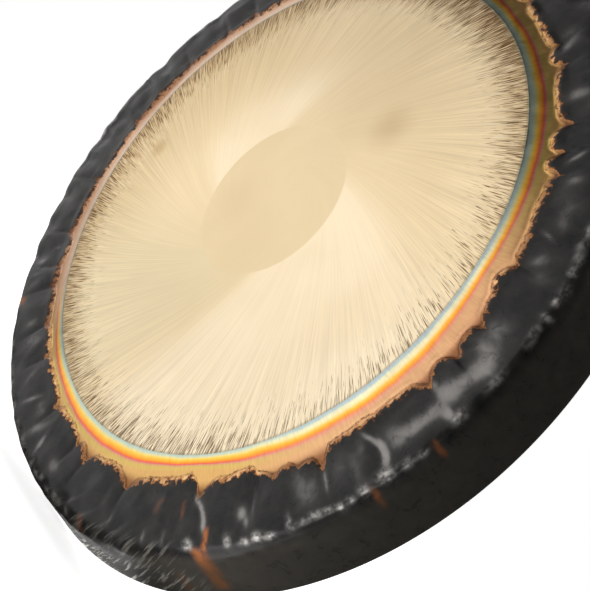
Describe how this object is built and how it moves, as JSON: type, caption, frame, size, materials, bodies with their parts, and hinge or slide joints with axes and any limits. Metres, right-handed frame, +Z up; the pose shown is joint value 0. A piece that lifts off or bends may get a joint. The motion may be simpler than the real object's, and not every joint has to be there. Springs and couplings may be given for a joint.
{
  "type": "gong",
  "caption": "Hammered bronze plate gong with a bright brushed striking face, a band of heat colours and a black hammered shoulder and turned-back rim, hung by grommeted holes.",
  "frame": {"origin": "hang point: halfway between the centres of the suspension holes in the rim wall, in the middle of the sheet's thickness", "axes": "+Z up as the gong hangs; the striking face looks along -Y and the open back along +Y; +X to the right of a viewer who faces the gong"},
  "size_m": [0.61, 0.0517, 0.61],
  "materials": {
    "bronze_face": "radially brushed, bare",
    "bronze_black_rim": "hammered, fire-blackened oxide skin, satin, with heat colours at its inner edge",
    "grommet_rubber": "matt moulded rubber"
  },
  "bodies": {
    "root": {"gong_plate": "bronze_face", "grommet_left": "grommet_rubber", "grommet_right": "grommet_rubber"}
  },
  "joints": []
}
